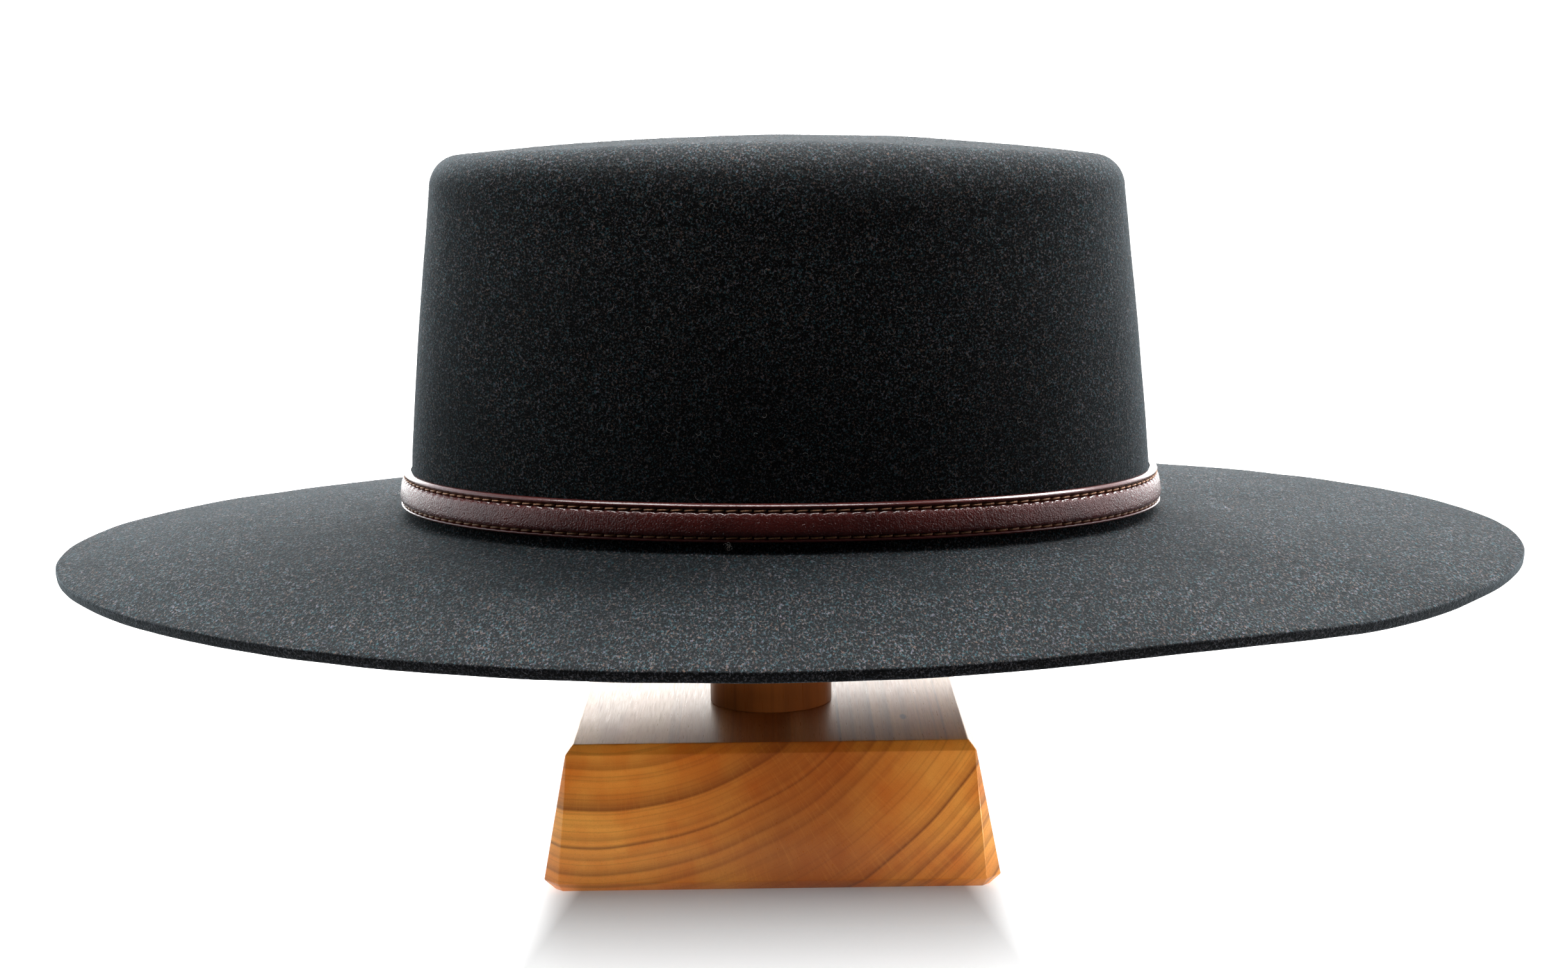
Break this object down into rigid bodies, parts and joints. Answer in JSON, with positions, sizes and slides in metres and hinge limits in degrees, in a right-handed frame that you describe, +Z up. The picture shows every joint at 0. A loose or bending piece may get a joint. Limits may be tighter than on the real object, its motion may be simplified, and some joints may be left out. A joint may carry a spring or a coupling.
{
  "type": "bolero hat on display stand",
  "caption": "Felt hat with a flat-topped oval crown, a wide stiff brim and a stitched leather band, held by its tip on a plain wooden post and block.",
  "frame": {"origin": "on the surface that the stand rests on, under the middle of the brim", "axes": "+Z up; +X towards the hat's front end, along the long axis of its oval; +Y towards the hat's left side"},
  "size_m": [0.4066, 0.337, 0.1996],
  "materials": {
    "felt": "matt black wool felt with a short nap",
    "leather": "glossy dark red-brown leather with tan stitching",
    "stand_wood": "orange-brown lacquered softwood"
  },
  "bodies": {
    "root": {"hat_felt": "felt", "hat_band": "leather", "stand_block": "stand_wood", "stand_post": "stand_wood"}
  },
  "joints": []
}
